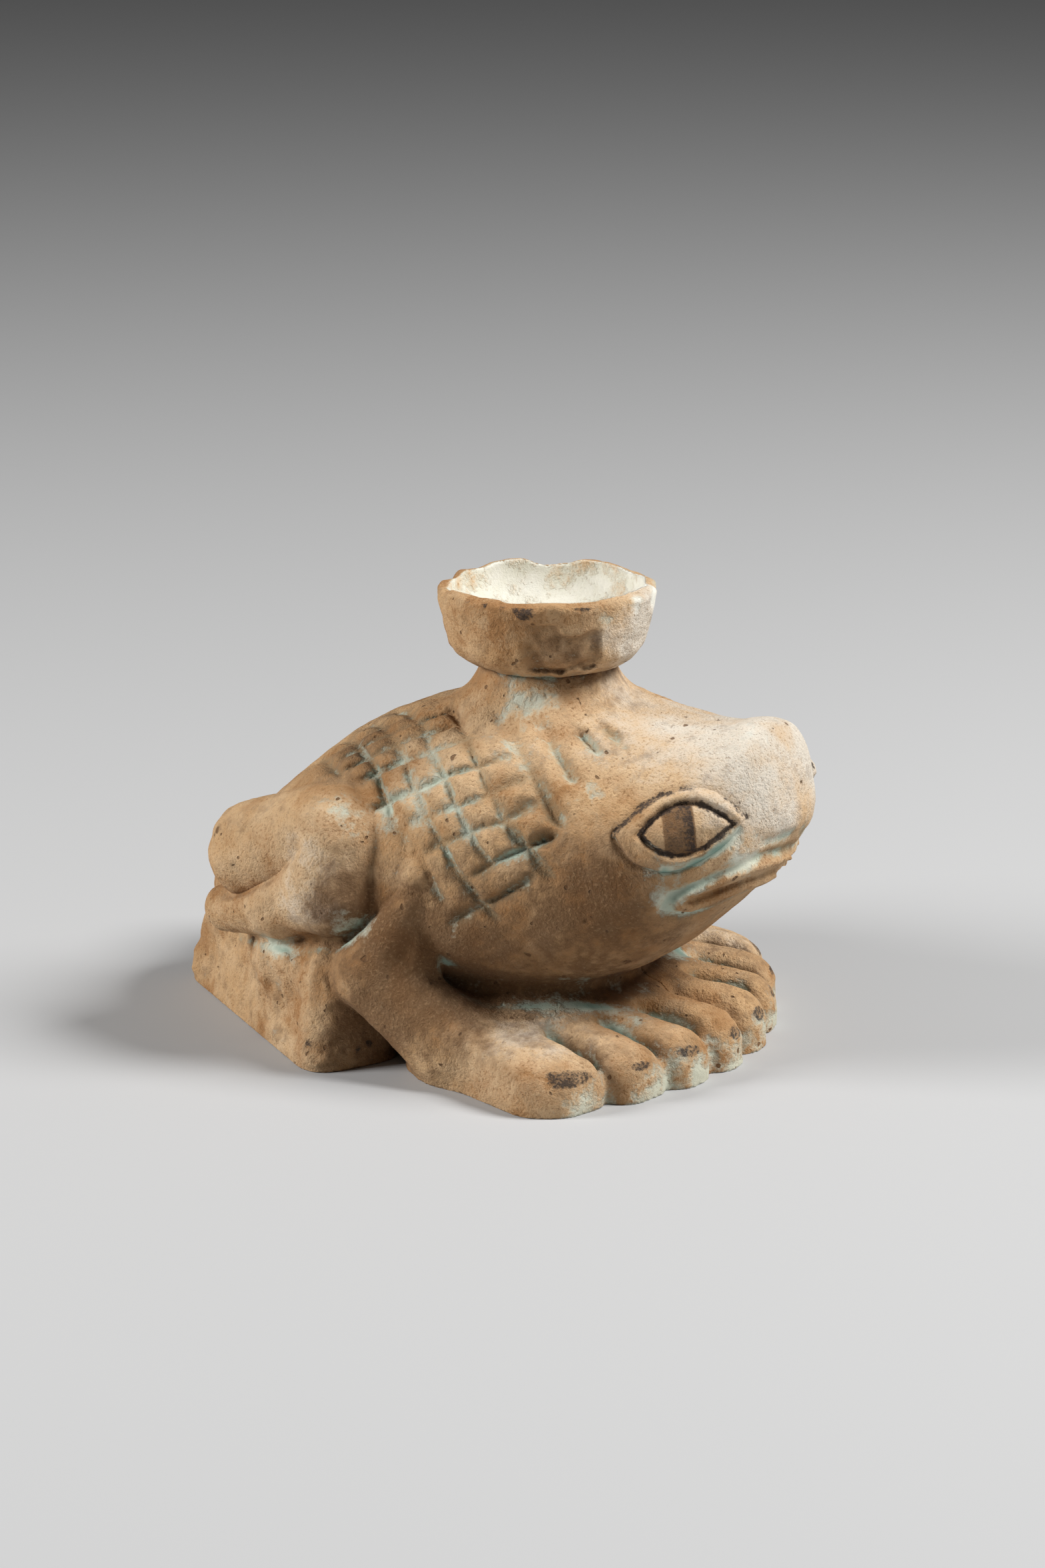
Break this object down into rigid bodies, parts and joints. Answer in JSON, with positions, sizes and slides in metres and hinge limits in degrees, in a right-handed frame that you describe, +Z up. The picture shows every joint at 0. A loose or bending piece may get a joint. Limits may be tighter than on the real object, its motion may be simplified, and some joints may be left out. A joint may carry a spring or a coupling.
{
  "type": "aryballos",
  "caption": "Small oil flask in the shape of a crouching frog, with a hollow egg-shaped body, folded legs, flat toed feet, almond eyes and a flaring mouth cup on a short neck.",
  "frame": {"origin": "middle of the footprint, on the floor plane under the feet", "axes": "+Z up, -Y towards the frog's snout, +Y towards its rump, -X its right side"},
  "size_m": [0.048, 0.065, 0.0452],
  "materials": {
    "paste": "worn sandy frit paste with brown stains and pale turquoise glaze left in the hollows",
    "cup_glaze": "worn frit paste outside, pale mint glaze inside",
    "eye_paint": "frit paste with dark brown painted outlines"
  },
  "bodies": {
    "root": {"back_shell": "paste", "belly_shell": "paste", "neck": "paste", "mouth_cup": "cup_glaze", "right_thigh": "paste", "left_thigh": "paste", "right_shank": "paste", "left_shank": "paste", "right_hind_foot": "paste", "left_hind_foot": "paste", "right_foreleg": "paste", "left_foreleg": "paste", "right_forefoot": "paste", "left_forefoot": "paste", "right_eye": "eye_paint", "left_eye": "eye_paint"}
  },
  "joints": []
}
